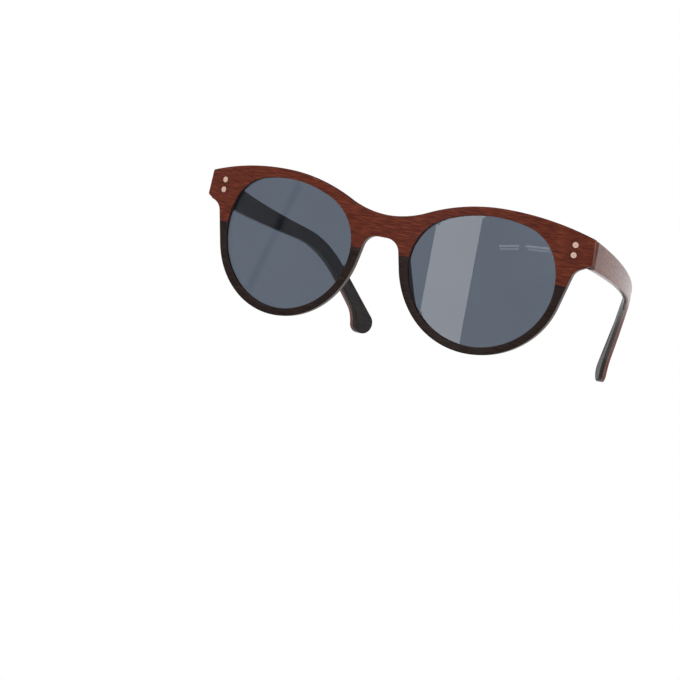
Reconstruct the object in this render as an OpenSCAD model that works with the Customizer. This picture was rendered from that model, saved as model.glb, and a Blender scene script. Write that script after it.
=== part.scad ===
// Wooden sunglasses: a laminated front bent to a curve, two lenses held in a groove,
// and two bent laminated temples on small riveted hinges. Millimetres.
// Each piece is drawn with the front upright: x to the wearer's left, y back, z up, z = 0 at the lens
// centres. place() then leans the whole back until rims and ear tips stand on the table, z = 0.

/* [Front] */
// Radius that the face of the front is bent to
front_radius = 210; // [190:5:260]
// Thickness of the face veneer
face_ply = 1.2; // [1:0.1:1.6]
// Thickness of the middle ply, which holds the lens
core_ply = 1.4; // [1.2:0.1:2]
// Thickness of the ply on the wearer's side
back_ply = 0.7; // [0.5:0.1:1.1]
// Height of the level seam between the red and the dark veneer
seam_z = 4; // [0:0.5:8]
// Height of the top edge in the middle of the bridge
bridge_top = 17.1; // [16:0.1:18]
// Height of the top of the nose arch
arch_top = 9.1; // [8:0.1:10.4]
// Radius of the corners of the nose arch
arch_r = 5.1; // [3:0.1:5.6]
// How much further out than the lens centre the highest point of the brow lies
brow_shift = 5.4; // [4.4:0.1:6.4]
// Width of the brow above the lens opening
brow_w = 3.3; // [3:0.1:4.2]
// Radius of the brow between the bridge and its highest point
brow_in_r = 63.5; // [60:0.5:68]
// Radius of the brow from its highest point to the end
brow_out_r = 96; // [85:1:120]
// How much narrower the end piece is at its top, on each side
end_taper = 0.6; // [0.3:0.1:1.5]
// Width of the end piece beside the lens opening
end_w = 10.9; // [10.7:0.1:11.6]
// Height of the lower corner of the end piece
end_low_z = 12.6; // [11.6:0.2:13]
// Slope of the end piece's lower edge, degrees
end_fall = 27; // [23:1:33]
// Radius of the hollow below the end piece
notch_r = 4.6; // [3:0.1:6]

/* [Rims and lenses] */
// Distance between the two lens openings
bridge_w = 22; // [21:0.2:23]
// Mean width of the rim round the lower half of the opening
rim_w = 2.5; // [2.3:0.1:3]
// How much further out than the lens centre the centre of the rim's round lies
rim_shift = 0.1; // [-0.1:0.1:0.3]
// How much lower than the lens centre the centre of the rim's round lies
rim_drop = 0.2; // [0:0.1:0.4]
// Slope of the rim's outer side from upright, degrees
rim_slope = 14; // [10:1:18]
// Slope of the nose side from upright, degrees
nose_slope = 12.4; // [11:0.1:14]
// How much larger than the rim's radius that of the curve between the nose side and the rim is
nose_more = 5.4; // [3:0.2:9]
// Angle below level at which that curve meets the rim's round, degrees
nose_turn = 40; // [36:1:44]
// Height of the centre of the opening's lower round
lens_z = 3; // [2.8:0.1:3.2]
// Radius of the opening's lower round
lens_r = 25.6; // [25:0.1:27]
// Radius of the opening's top
lens_top_r = 43; // [39:1:48]
// How much lower the opening's top lies than that of a full round
lens_cut = 5.3; // [5.1:0.1:5.7]
// How much further out the opening's top lies than its lower round
top_shift = 2.7; // [2:0.1:3]
// Radius of the opening's outer upper corner
lens_out_r = 15.4; // [15:0.1:17]
// Radius of the opening's upper corner at the nose
lens_in_r = 18.1; // [17:0.1:18.6]
// Depth of the groove that holds the lens
groove = 0.9; // [0.7:0.1:1.1]
// Play of the lens in its groove, all round
lens_play = 0.05; // [0.03:0.01:0.1]

/* [Nose pads] */
// How far a pad stands out behind the front
pad_h = 2.2; // [1.6:0.1:2.8]
// Length of a pad where it meets the front
pad_len = 20; // [17:0.5:21]
// Height of the pad's middle
pad_z = -4.5; // [-5:0.5:-3]
// Angle by which the pad leans outwards, away from the nose, degrees
pad_flare = 28; // [20:1:32]
// Width of the ledge between the pad and the lens opening
pad_edge = 0.3; // [0.2:0.1:0.5]

/* [Temples] */
// Radius that the outer face of the temple is bent to
temple_radius = 226; // [220:2:250]
// Angle by which the temple leaves the front outwards, degrees
temple_splay = 5.9; // [4.8:0.1:6.4]
// Thickness of the outer ply
outer_ply = 0.9; // [0.8:0.1:1.2]
// Thickness of the thin middle ply
middle_ply = 0.4; // [0.4:0.1:0.7]
// Thickness of the inner ply
inner_ply = 1.3; // [1.2:0.1:1.6]
// Gap between the front and the end of the temple
butt_gap = 0.25; // [0.2:0.05:0.4]
// Height of the upper edge at the hinge
temple_top = 21.2; // [20.8:0.1:21.6]
// Fall of the upper edge, degrees
top_fall = 11; // [10.5:0.1:11.5]
// Height of the lower edge at the hinge
temple_low = 11.2; // [10.8:0.1:11.5]
// Fall of the lower edge, degrees
low_fall = 7.6; // [7:0.1:8]
// Fall of the ear piece, degrees
ear_fall = 44; // [42:1:46]
// Width of the ear piece behind the bend
ear_w = 4.8; // [4.4:0.1:5.4]
// Distance behind the corner of the upper edge at which that width is measured
ear_at = 18; // [16:1:20]
// How much steeper the ear piece's lower edge falls, degrees
ear_taper = 0.9; // [0.6:0.1:1.6]
// Radius of the bend along the edges
bend_r = 50; // [43:1:52]
// Distance of the ear tip's centre behind the face
tip_y = 138.3; // [137:0.1:140]
// Height of the ear tip's centre
tip_z = -28.1; // [-29:0.1:-27.6]
// Radius of the ear tip
tip_r = 4.2; // [3.9:0.1:4.6]
// Radius of the hollow between the ear piece and its tip
hollow_r = 12; // [10:1:15]

/* [Hinges] */
// Distance of the rivets in from the end of the front
rivet_in = 6.6; // [6.4:0.1:7]
// Height of the hinge's middle
hinge_z = 17; // [16.8:0.1:17.2]
// Distance between the two rivets
rivet_pitch = 3.6; // [3.4:0.1:4]
// Radius of a rivet's shank
rivet_r = 0.8; // [0.7:0.05:0.85]
// Radius of a rivet's head
rivet_head_r = 1.05; // [0.95:0.05:1.1]
// How far a rivet's head stands out of the face
rivet_proud = 0.12; // [0.06:0.02:0.2]
// How far a rivet's end stands out behind the front's leaf
rivet_end = 0.25; // [0.15:0.05:0.4]
// Height of a knuckle
knuckle_h = 1.4; // [1.3:0.05:1.5]
// Radius of a knuckle
knuckle_r = 1.35; // [1.25:0.05:1.4]
// Gap between two knuckles
knuckle_gap = 0.15; // [0.12:0.01:0.2]
// Radius of the hinge screw
pin_r = 0.7; // [0.6:0.05:0.75]
// Play of the hinge screw in the knuckles
pin_play = 0.03; // [0.02:0.01:0.05]
// How far the hinge screw stands out below the knuckles
pin_end = 0.3; // [0.2:0.05:0.4]
// Height of the hinge screw's head
pin_head_h = 0.5; // [0.4:0.05:0.6]
// How much smaller than a knuckle's radius that of the head is
pin_head_in = 0.1; // [0.05:0.05:0.2]
// Thickness of the hinge leaves
leaf_t = 0.8; // [0.7:0.05:0.9]
// Width of the front's leaf from the rivets towards the nose
leaf_edge = 3.4; // [3:0.1:3.8]
// How far a leaf runs past the hinge axis
leaf_lap = 0.6; // [0.5:0.1:0.7]
// Length of the temple leaf
leaf_len = 11; // [10:0.5:13]
// Clearance of the temple leaf from the front's knuckles
leaf_clear = 0.4; // [0.3:0.1:0.5]
// How far the front's brackets run past the hinge axis
bracket_lap = 0.4; // [0.3:0.1:0.5]
// How far the temple's brackets run along the leaf
bracket_run = 1; // [0.8:0.1:1.4]
// Gap between the knuckles and the temple's inner face
side_gap = 0.25; // [0.2:0.05:0.4]
// Gap between the knuckles and the face of the front's leaf
leaf_gap = 0.2; // [0.15:0.05:0.3]
// Radius of a leaf screw
screw_r = 0.55; // [0.45:0.05:0.6]
// Radius of a leaf screw's head
screw_head_r = 0.95; // [0.8:0.05:1.1]
// Height of a leaf screw's head
screw_head_h = 0.4; // [0.3:0.05:0.5]
// Distance between the two leaf screws
screw_pitch = 4; // [3.6:0.1:4.4]
// Distance of the last leaf screw from the end of the leaf
screw_in = 2.4; // [2:0.1:2.8]
// How much deeper than a leaf screw its hole is
screw_room = 0.1; // [0.05:0.05:0.15]

/* [Hidden] */
$fn = 96;
arc_step = 4;
knuckles = 5;
RED = [0.38, 0.19, 0.14];
BROWN = [0.30, 0.16, 0.12];
DARK = [0.17, 0.14, 0.13];
TAN = [0.55, 0.33, 0.22];
GREY = [0.36, 0.38, 0.42, 0.75];
STEEL = [0.62, 0.62, 0.63];
CREAM = [0.82, 0.69, 0.62];

front_t = face_ply + core_ply + back_ply;
temple_t = outer_ply + middle_ply + inner_ply;
core_r = front_radius - face_ply;
back_r = core_r - core_ply;
rear_r = back_r - back_ply;

// Reach of the shapes that cut: backwards, up and down, sideways, and past a face
depth = 40;
reach = 60;
wide = 90;
over = 1;

// Places that follow from the lens openings
lens_x = bridge_w / 2 + lens_r;
lens_top = lens_z + lens_r - lens_cut;
rim_r = lens_r + rim_w;
rim_x = lens_x + rim_shift;
rim_z = lens_z - rim_drop;
nose_r = rim_r + nose_more;
brow_x = lens_x + brow_shift;
brow_top = lens_top + brow_w;
end_x = lens_x + lens_r + end_w;
end_top_x = end_x - end_taper;
rivet_x = end_x - rivet_in;

// Where the end of the temple meets the front, and the centre of the temple's curve
butt_r = rear_r - butt_gap;
butt_y = front_radius - sqrt(butt_r * butt_r - end_x * end_x);
bend_x = end_x - temple_radius * cos(temple_splay);
bend_y = butt_y + temple_radius * sin(temple_splay);
inner_r = temple_radius - temple_t;

// Hinge axis: clear of the temple's inner face and of the leaf on the front
hinge_x = end_x - temple_t / cos(temple_splay) - knuckle_r - side_gap;
leaf_back_r = rear_r - leaf_t;
hinge_y = front_radius - sqrt(leaf_back_r * leaf_back_r - hinge_x * hinge_x) + knuckle_r + leaf_gap;
knuckle_step = knuckle_h + knuckle_gap;
hinge_h = knuckles * knuckle_step - knuckle_gap;
hinge_low = hinge_z - hinge_h / 2;
bore_r = pin_r + pin_play;
rivet_turn = asin(rivet_x / front_radius);
screw_depth = inner_ply + middle_ply / 2;
screw_runs = [leaf_len - screw_in - screw_pitch, leaf_len - screw_in];
mid_fall = (top_fall + low_fall) / 2;
leaf_w = hinge_h - 2 * knuckle_h - leaf_clear;
leaf_from = knuckle_r + leaf_clear;

// Lean at which the rims and the ear tips touch the table together
rim_low = rim_z - rim_r;
rim_y = front_radius - sqrt(front_radius * front_radius - rim_x * rim_x);
lean_run = tip_y - rim_y;
lean_drop = tip_z - rim_low;
lean = asin(tip_r / norm([lean_run, lean_drop])) - atan2(lean_drop, lean_run);
lift = -rim_y * sin(lean) - rim_low * cos(lean);
most_front = -bridge_top * sin(lean);
most_back = tip_y * cos(lean) - tip_z * sin(lean) + tip_r;
back_shift = -(most_front + most_back) / 2;

// Points of an arc, and helpers that join lines and circles
function steps(a, b) = max(3, ceil(abs(b - a) / arc_step));
function along(a) = [cos(a), sin(a)];
function arc(c, r, a, b) = [for (i = [0 : steps(a, b)]) c + r * along(a + (b - a) * i / steps(a, b))];
function angle_of(v) = atan2(v[1], v[0]);
function turn_to(a, b) = a + (b - a + 540) % 360 - 180;
function cross2(u, v) = u[0] * v[1] - u[1] * v[0];
function crossing(p, u, q, v) = p + u * cross2(q - p, v) / cross2(u, v);
function apart(p, rp, q, rq, side) =
    let (d = norm(q - p), a = (rp * rp - rq * rq + d * d) / (2 * d), e = (q - p) / d)
    p + a * e + side * sqrt(rp * rp - a * a) * [-e[1], e[0]];

// Round of radius r in the corner v between the directions of p and q
function corner(p, v, q, r) =
    let (a = (p - v) / norm(p - v), b = (q - v) / norm(q - v))
    let (half = acos(a * b) / 2, c = v + (a + b) / norm(a + b) * r / sin(half), run = r / tan(half))
    let (from = angle_of(v + a * run - c), to = turn_to(from, angle_of(v + b * run - c)))
    arc(c, r, from, to);

// Lens outline, grown by g: a round bottom, a flatter top and two upper corners
low_c = [lens_x, lens_z];
top_c = [lens_x + top_shift, lens_top - lens_top_r];
out_c = apart(low_c, lens_r - lens_out_r, top_c, lens_top_r - lens_out_r, 1);
in_c = apart(low_c, lens_r - lens_in_r, top_c, lens_top_r - lens_in_r, -1);
in_turn = turn_to(180, angle_of(in_c - low_c));
function lens_outline(g) = concat(
    arc(low_c, lens_r + g, in_turn, 360 + angle_of(out_c - low_c)),
    arc(out_c, lens_out_r + g, angle_of(out_c - low_c), angle_of(out_c - top_c)),
    arc(top_c, lens_top_r + g, angle_of(out_c - top_c), angle_of(in_c - top_c)),
    arc(in_c, lens_in_r + g, angle_of(in_c - top_c), in_turn));

// Front outline, half of it: bridge, brow, end piece, hollow, rim, nose side and arch
brow_c = [brow_x, brow_top - brow_in_r];
brow_far_c = [brow_x, brow_top - brow_out_r];
bridge_k = bridge_top - brow_c[1];
bridge_r = (brow_x * brow_x + bridge_k * bridge_k - brow_in_r * brow_in_r) / (2 * (brow_in_r - bridge_k));
bridge_c = [0, bridge_top + bridge_r];
bridge_end = angle_of(brow_c - bridge_c);
end_low = [end_x, end_low_z];
rim_c = [rim_x, rim_z];
rim_out = rim_c + rim_r * along(-rim_slope);
nose_c = rim_c + (rim_r - nose_r) * along(180 + nose_turn);
nose_in = nose_c + nose_r * along(180 + nose_slope);
notch_v = crossing(end_low, along(180 + end_fall), rim_out, along(90 - rim_slope));
arch_v = [nose_in[0] - tan(nose_slope) * (arch_top - nose_in[1]), arch_top];
half_outline = concat(
    arc(bridge_c, bridge_r, -90, bridge_end),
    arc(brow_c, brow_in_r, bridge_end + 180, 90),
    arc(brow_far_c, brow_out_r, 90, acos((end_top_x - brow_x) / brow_out_r)),
    [end_low],
    corner(end_low, notch_v, rim_out, notch_r),
    arc(rim_c, rim_r, -rim_slope, nose_turn - 180),
    arc(nose_c, nose_r, nose_turn - 180, nose_slope - 180),
    corner(nose_in, arch_v, [0, arch_top], arch_r));
function flipped(points) = [for (i = [len(points) - 1 : -1 : 0]) [-points[i][0], points[i][1]]];
front_outline = concat(half_outline, [for (i = [0 : len(half_outline) - 2]) flipped(half_outline)[i]]);

// Nose pad: radius of its bump, and the point of the nose side at its middle
pad_r = (pad_len * pad_len / 4 + pad_h * pad_h) / (2 * pad_h);
pad_in = nose_c - nose_r * along(asin((nose_c[1] - pad_z) / nose_r));
pad_y = front_radius - sqrt(rear_r * rear_r - pad_in[0] * pad_in[0]);

// Temple outline seen from the side, as points [y, z]
fore = [butt_y - temple_t - over, 0];
top_line = [butt_y, temple_top];
low_line = [butt_y, temple_low];
tip_c = [tip_y, tip_z];
ear_top = tip_c + tip_r * along(90 - ear_fall);
low_ear_fall = ear_fall + ear_taper;
top_v = crossing(top_line, along(-top_fall), ear_top, along(-ear_fall));
ear_low = top_v + ear_at * along(-ear_fall) - ear_w * along(90 - ear_fall);
low_v = crossing(low_line, along(-low_fall), ear_low, along(-low_ear_fall));
hollow_from = ear_low - hollow_r * along(90 - low_ear_fall) - tip_c;
hollow_b = hollow_from * along(-low_ear_fall);
hollow_q = -hollow_b - sqrt(hollow_b * hollow_b - hollow_from * hollow_from + pow(tip_r + hollow_r, 2));
hollow_c = tip_c + hollow_from + hollow_q * along(-low_ear_fall);
hollow_a = angle_of(hollow_c - tip_c);
temple_outline = concat(
    [crossing(fore, along(90), top_line, along(-top_fall))],
    corner(top_line, top_v, ear_top, bend_r),
    arc(tip_c, tip_r, 90 - ear_fall, turn_to(-90, hollow_a)),
    arc(hollow_c, hollow_r, turn_to(90, hollow_a + 180), turn_to(90, 90 - low_ear_fall)),
    corner(ear_low, low_v, low_line, bend_r),
    [crossing(fore, along(90), low_line, along(-low_fall))]);

// Placing and mirroring
module place() {
    translate([0, back_shift, lift]) rotate([lean, 0, 0]) children();
}
module side(s) {
    if (s > 0) children();
    else mirror([1, 0, 0]) children();
}

// A shape drawn in the front view, run through from front to back
module through() {
    translate([0, depth, 0]) rotate([90, 0, 0]) linear_extrude(height = depth + over) children();
}
// A shape drawn in the side view, run across
module across() {
    rotate([90, 0, 90]) linear_extrude(height = wide) children();
}
module front_cylinder(r) {
    translate([0, front_radius, -reach]) cylinder(r = r, h = 2 * reach, $fn = 720);
}
module temple_cylinder(r) {
    translate([bend_x, bend_y, -reach]) cylinder(r = r, h = 2 * reach, $fn = 720);
}

// Rivet axis, square to the face; children are drawn with z pointing out of the face, z = 0 on it
module at_rivets() {
    for (dz = [-0.5, 0.5])
        translate([0, front_radius, hinge_z + dz * rivet_pitch])
            rotate([0, 0, rivet_turn]) translate([0, -front_radius, 0]) rotate([90, 0, 0]) children();
}
module rivet_holes(r) {
    at_rivets() translate([0, 0, -front_t - leaf_t - over])
        cylinder(r = r, h = front_t + leaf_t + 2 * over);
}
module both_rivet_holes(r) {
    rivet_holes(r);
    mirror([1, 0, 0]) rivet_holes(r);
}

// One bent ply of the front, between two radii, with openings grown by g
module front_ply(from_r, to_r, g) {
    difference() {
        intersection() {
            through() difference() {
                polygon(front_outline);
                polygon(lens_outline(g));
                mirror([1, 0]) polygon(lens_outline(g));
            }
            difference() {
                front_cylinder(from_r);
                front_cylinder(to_r);
            }
        }
        children();
    }
}
module band(x0, x1, z0, z1) {
    translate([x0, -over, z0]) cube([x1 - x0, depth + over, z1 - z0]);
}

module brow_veneer() {
    color(RED) place() intersection() {
        front_ply(front_radius, core_r, 0) both_rivet_holes(rivet_head_r);
        band(-wide, wide, seam_z, reach);
    }
}
module rim_veneer(s) {
    color(DARK) place() side(s) intersection() {
        front_ply(front_radius, core_r, 0);
        band(0, wide, -reach, seam_z);
    }
}
module front_core_ply() {
    color(BROWN) place() front_ply(core_r, back_r, groove) both_rivet_holes(rivet_r);
}
module front_back_ply() {
    color(DARK) place() front_ply(back_r, rear_r, 0) both_rivet_holes(rivet_r);
}
// A low bump on the wearer's side of the rim, leaning away from the nose
module nose_pad(s) {
    color(DARK) place() side(s) intersection() {
        translate([pad_in[0], pad_y, 0]) rotate([0, 0, -pad_flare]) translate([-pad_in[0], -pad_y, 0])
            through() difference() {
                polygon(front_outline);
                polygon(lens_outline(pad_edge));
            }
        front_cylinder(rear_r);
        translate([0, pad_y + pad_h - pad_r, pad_z]) rotate([0, 90, 0])
            cylinder(r = pad_r, h = lens_x, $fn = 180);
    }
}
module lens(s) {
    color(GREY) place() side(s) intersection() {
        through() polygon(lens_outline(groove - lens_play));
        difference() {
            front_cylinder(core_r - lens_play);
            front_cylinder(back_r + lens_play);
        }
    }
}
module front_rivets(s) {
    color(CREAM) place() side(s) at_rivets() {
        translate([0, 0, -face_ply]) cylinder(r = rivet_head_r, h = face_ply + rivet_proud);
        translate([0, 0, -front_t - leaf_t - rivet_end])
            cylinder(r = rivet_r, h = core_ply + back_ply + leaf_t + rivet_end);
    }
}

// Hinge: five knuckles, the first, third and fifth on the front's leaf
module at_knuckle(i) {
    translate([hinge_x, hinge_y, hinge_low + i * knuckle_step]) children();
}
module knuckle(i) {
    at_knuckle(i) cylinder(r = knuckle_r, h = knuckle_h);
}
module hinge_bore() {
    translate([hinge_x, hinge_y, hinge_z - hinge_h]) cylinder(r = bore_r, h = 2 * hinge_h);
}
module front_hinge_leaf(s) {
    color(STEEL) place() side(s) difference() {
        union() {
            intersection() {
                band(rivet_x - leaf_edge, hinge_x + leaf_lap, hinge_low, hinge_low + hinge_h);
                difference() {
                    front_cylinder(rear_r);
                    front_cylinder(leaf_back_r);
                }
            }
            for (i = [0 : 2 : knuckles - 1]) {
                knuckle(i);
                intersection() {
                    at_knuckle(i) translate([-knuckle_r, -knuckle_r - leaf_t, 0])
                        cube([knuckle_r + bracket_lap, knuckle_r + leaf_t, knuckle_h]);
                    front_cylinder(rear_r);
                }
            }
        }
        hinge_bore();
        rivet_holes(rivet_r);
    }
}
module hinge_screw(s) {
    color(STEEL) place() side(s) union() {
        translate([hinge_x, hinge_y, hinge_low - pin_end])
            cylinder(r = pin_r, h = pin_end + hinge_h + pin_head_h / 2);
        translate([hinge_x, hinge_y, hinge_low + hinge_h])
            cylinder(r = knuckle_r - pin_head_in, h = pin_head_h);
    }
}

// One bent ply of a temple, between two radii
module temple_ply(from_r, to_r) {
    difference() {
        intersection() {
            across() polygon(temple_outline);
            difference() {
                temple_cylinder(from_r);
                temple_cylinder(to_r);
            }
            front_cylinder(butt_r);
        }
        children();
    }
}
// Screw axes of the temple leaf, square to the inner face; z points inwards, z = 0 on that face
module at_leaf_screws() {
    for (run = screw_runs)
        translate([bend_x, bend_y, hinge_z - run * sin(mid_fall)])
            rotate([0, 0, asin((hinge_y + run * cos(mid_fall) - bend_y) / inner_r)])
                translate([inner_r, 0, 0]) rotate([0, -90, 0]) children();
}
module leaf_screw_holes() {
    at_leaf_screws() translate([0, 0, -screw_depth - screw_room])
        cylinder(r = screw_r, h = screw_depth + screw_room + leaf_t + over);
}
module temple_outer_ply(s) {
    color(RED) place() side(s) temple_ply(temple_radius, temple_radius - outer_ply);
}
module temple_middle_ply(s) {
    color(TAN) place() side(s)
        temple_ply(temple_radius - outer_ply, inner_r + inner_ply) leaf_screw_holes();
}
module temple_inner_ply(s) {
    color(DARK) place() side(s) temple_ply(inner_r + inner_ply, inner_r) leaf_screw_holes();
}
module temple_hinge_leaf(s) {
    color(STEEL) place() side(s) difference() {
        union() {
            intersection() {
                across() translate([hinge_y, hinge_z]) rotate(-mid_fall)
                    translate([leaf_from, -leaf_w / 2]) square([leaf_len - leaf_from, leaf_w]);
                difference() {
                    temple_cylinder(inner_r);
                    temple_cylinder(inner_r - leaf_t);
                }
            }
            for (i = [1 : 2 : knuckles - 1]) {
                knuckle(i);
                intersection() {
                    at_knuckle(i) translate([0, -leaf_lap, 0])
                        cube([knuckle_r + side_gap + over, leaf_lap + leaf_from + bracket_run, knuckle_h]);
                    temple_cylinder(inner_r);
                }
            }
        }
        hinge_bore();
        leaf_screw_holes();
    }
}
module temple_leaf_screws(s) {
    color(STEEL) place() side(s) at_leaf_screws() {
        translate([0, 0, -screw_depth]) cylinder(r = screw_r, h = screw_depth + leaf_t);
        translate([0, 0, leaf_t]) cylinder(r = screw_head_r, h = screw_head_h);
    }
}

brow_veneer();
rim_veneer(-1);  // right_rim_veneer
rim_veneer(1);  // left_rim_veneer
front_core_ply();
front_back_ply();
nose_pad(-1);  // right_nose_pad
nose_pad(1);  // left_nose_pad
lens(-1);  // right_lens
lens(1);  // left_lens
front_rivets(-1);  // right_front_rivets
front_rivets(1);  // left_front_rivets
front_hinge_leaf(-1);  // right_front_hinge_leaf
front_hinge_leaf(1);  // left_front_hinge_leaf
hinge_screw(-1);  // right_hinge_screw
hinge_screw(1);  // left_hinge_screw
temple_outer_ply(-1);  // right_temple_outer_ply
temple_middle_ply(-1);  // right_temple_middle_ply
temple_inner_ply(-1);  // right_temple_inner_ply
temple_hinge_leaf(-1);  // right_temple_hinge_leaf
temple_leaf_screws(-1);  // right_temple_leaf_screws
temple_outer_ply(1);  // left_temple_outer_ply
temple_middle_ply(1);  // left_temple_middle_ply
temple_inner_ply(1);  // left_temple_inner_ply
temple_hinge_leaf(1);  // left_temple_hinge_leaf
temple_leaf_screws(1);  // left_temple_leaf_screws
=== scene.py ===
import math

import bmesh
import bpy
import numpy as np
from mathutils import Matrix, Vector
from mathutils.geometry import delaunay_2d_cdt


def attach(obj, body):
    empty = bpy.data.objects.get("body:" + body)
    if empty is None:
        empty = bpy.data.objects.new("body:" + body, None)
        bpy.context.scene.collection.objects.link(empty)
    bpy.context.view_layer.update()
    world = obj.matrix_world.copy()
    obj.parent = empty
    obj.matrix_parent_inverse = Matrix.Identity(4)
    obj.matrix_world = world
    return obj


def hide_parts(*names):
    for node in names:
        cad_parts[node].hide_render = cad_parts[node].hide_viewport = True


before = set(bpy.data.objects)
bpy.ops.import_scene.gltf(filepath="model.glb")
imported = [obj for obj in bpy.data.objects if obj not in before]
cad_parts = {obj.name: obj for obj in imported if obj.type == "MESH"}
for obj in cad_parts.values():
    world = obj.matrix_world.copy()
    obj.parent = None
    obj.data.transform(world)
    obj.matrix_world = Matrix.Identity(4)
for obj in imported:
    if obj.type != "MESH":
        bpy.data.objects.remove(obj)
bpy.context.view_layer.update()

# Sizes in millimetres and angles in degrees, the same as the part's own: the front
MM = 0.001
FRONT_R = 210.0
FACE, CORE, BACK = 1.2, 1.4, 0.7
SEAM_Z = 4.0
BRIDGE_TOP, ARCH_TOP, ARCH_R = 17.1, 9.1, 5.1
BROW_SHIFT, BROW_W, BROW_IN_R, BROW_OUT_R = 5.4, 3.3, 63.5, 96.0
END_TAPER, END_W, END_LOW_Z, END_FALL, NOTCH_R = 0.6, 10.9, 12.6, 27.0, 4.6

# Rims, lenses and nose pads
BRIDGE_W, RIM_W, RIM_SHIFT, RIM_DROP, RIM_SLOPE = 22.0, 2.5, 0.1, 0.2, 14.0
NOSE_SLOPE, NOSE_MORE, NOSE_TURN = 12.4, 5.4, 40.0
LENS_Z, LENS_R, LENS_TOP_R, LENS_CUT, TOP_SHIFT = 3.0, 25.6, 43.0, 5.3, 2.7
LENS_OUT_R, LENS_IN_R, GROOVE, LENS_PLAY = 15.4, 18.1, 0.9, 0.05
PAD_H, PAD_LEN, PAD_Z, PAD_FLARE, PAD_EDGE = 2.2, 20.0, -4.5, 28.0, 0.3

# Temples
TEMPLE_R, SPLAY = 226.0, 5.9
OUTER, MIDDLE, INNER = 0.9, 0.4, 1.3
BUTT_GAP = 0.25
TEMPLE_TOP, TOP_FALL, TEMPLE_LOW, LOW_FALL = 21.2, 11.0, 11.2, 7.6
EAR_FALL, EAR_W, EAR_AT, EAR_TAPER, BEND_R, HOLLOW_R = 44.0, 4.8, 18.0, 0.9, 50.0, 12.0
TIP_Y, TIP_Z, TIP_R = 138.3, -28.1, 4.2

# Hinges
RIVET_IN, RIVET_PITCH, RIVET_R, RIVET_HEAD_R = 6.6, 3.6, 0.8, 1.05
RIVET_PROUD, RIVET_END = 0.12, 0.25
HINGE_Z, KNUCKLES, KNUCKLE_H, KNUCKLE_R, KNUCKLE_GAP = 17.0, 5, 1.4, 1.35, 0.15
PIN_R, PIN_END, PIN_HEAD_H, PIN_HEAD_IN = 0.7, 0.3, 0.5, 0.1
LEAF_T, LEAF_LEN, SIDE_GAP, LEAF_GAP = 0.8, 11.0, 0.25, 0.2
SCREW_R, SCREW_HEAD_R, SCREW_HEAD_H, SCREW_PITCH, SCREW_IN = 0.55, 0.95, 0.4, 4.0, 2.4

# Roundings of edges and small forms, seen only here
ROUND_OUT, ROUND_OPEN, ROUND_REAR, ROUND_REAR_OPEN = 0.4, 0.25, 0.35, 0.2
ROUND_TEMPLE, ROUND_LENS, CORNER_RUN = 0.45, 0.15, 0.56
HOLE_PLAY = 0.12
PAD_NOSE, PAD_SINK, PAD_END_POWER, PAD_TOP_POWER = 0.15, 0.05, 1.15, 6
DIMPLE_R, DIMPLE_DEEP, DOME_DROP = 0.2, 0.14, 0.14
PIN_CHAMFER, SCREW_POINT = 0.15, 0.4
SLOT_LONG, PIN_SLOT_W, PIN_SLOT_DEEP, SCREW_SLOT_W, SCREW_SLOT_DEEP = 4.0, 0.3, 0.25, 0.24, 0.22

# Rounded ends of rivets and screws: shares of their radius and of their height
DIMPLE = ((0, 1), (0.6, 0.93), (1, 0.14), (1.3, 0))
RIVET_DOME = ((0.7, 0.07), (0.92, 0.36), (1, 1))
RIVET_TAIL = ((1, 0), (0.95, 0.48), (0.7, 0.84), (0, 1))
PIN_HEAD = ((1, 0), (1, 0.5), (0.9, 0.8), (0.6, 0.96), (0, 1))
SCREW_HEAD = ((1, 0), (1, 0.3), (0.85, 0.7), (0.5, 0.95), (0, 1))

# Spacing of points: on arcs and holes in degrees, on lines and faces in millimetres
ARC_STEP, HOLE_STEP, LINE_STEP = 2.0, 12, 1.5
FACE_GRID, LENS_GRID, TEMPLE_GRID = 1.7, 1.4, 1.5

# Height of a grid's rows and its distance from the rim, as shares of its step
ROW_SHARE, RIM_SHARE = 0.87, 0.6

# Steps on a rounding, round a turned piece and on a nose pad, and rounds until a place settles
ROUND_STEPS, LATHE_TURNS, PAD_ROWS, PAD_COLUMNS = 5, 40, 44, 20
SETTLING_ROUNDS = 8

# Distances in millimetres up to which points are taken as one
SAME_POINT, CUT_TOUCH, ON_AXIS, TRIANGLE_TOUCH = 0.02, 1e-5, 1e-6, 1e-7

# Angle from which an edge is sharp, and cosine below which a face counts as a board's edge
SHARP_ANGLE, EDGE_COSINE = 35.0, 0.6

# Shift of the grain on the mirrored side, so that the two sides differ
OTHER_SIDE = 57.0

# Derived places
SIDES = ((1, "left"), (-1, "right"))
FRONT_T = FACE + CORE + BACK
TEMPLE_T = OUTER + MIDDLE + INNER
LENS_X = BRIDGE_W / 2 + LENS_R
LENS_TOP = LENS_Z + LENS_R - LENS_CUT
RIM_R = LENS_R + RIM_W
RIM_X = LENS_X + RIM_SHIFT
RIM_Z = LENS_Z - RIM_DROP
NOSE_R = RIM_R + NOSE_MORE
BROW_X = LENS_X + BROW_SHIFT
BROW_TOP = LENS_TOP + BROW_W
END_X = LENS_X + LENS_R + END_W
END_TOP_X = END_X - END_TAPER
RIVET_X = END_X - RIVET_IN
RIVET_LEVELS = (HINGE_Z - RIVET_PITCH / 2, HINGE_Z + RIVET_PITCH / 2)
REAR_R = FRONT_R - FRONT_T
BUTT_R = REAR_R - BUTT_GAP
BUTT_Y = FRONT_R - math.sqrt(BUTT_R ** 2 - END_X ** 2)
BEND_X = END_X - TEMPLE_R * math.cos(math.radians(SPLAY))
BEND_Y = BUTT_Y + TEMPLE_R * math.sin(math.radians(SPLAY))
INNER_R = TEMPLE_R - TEMPLE_T
HINGE_X = END_X - TEMPLE_T / math.cos(math.radians(SPLAY)) - KNUCKLE_R - SIDE_GAP
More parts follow.
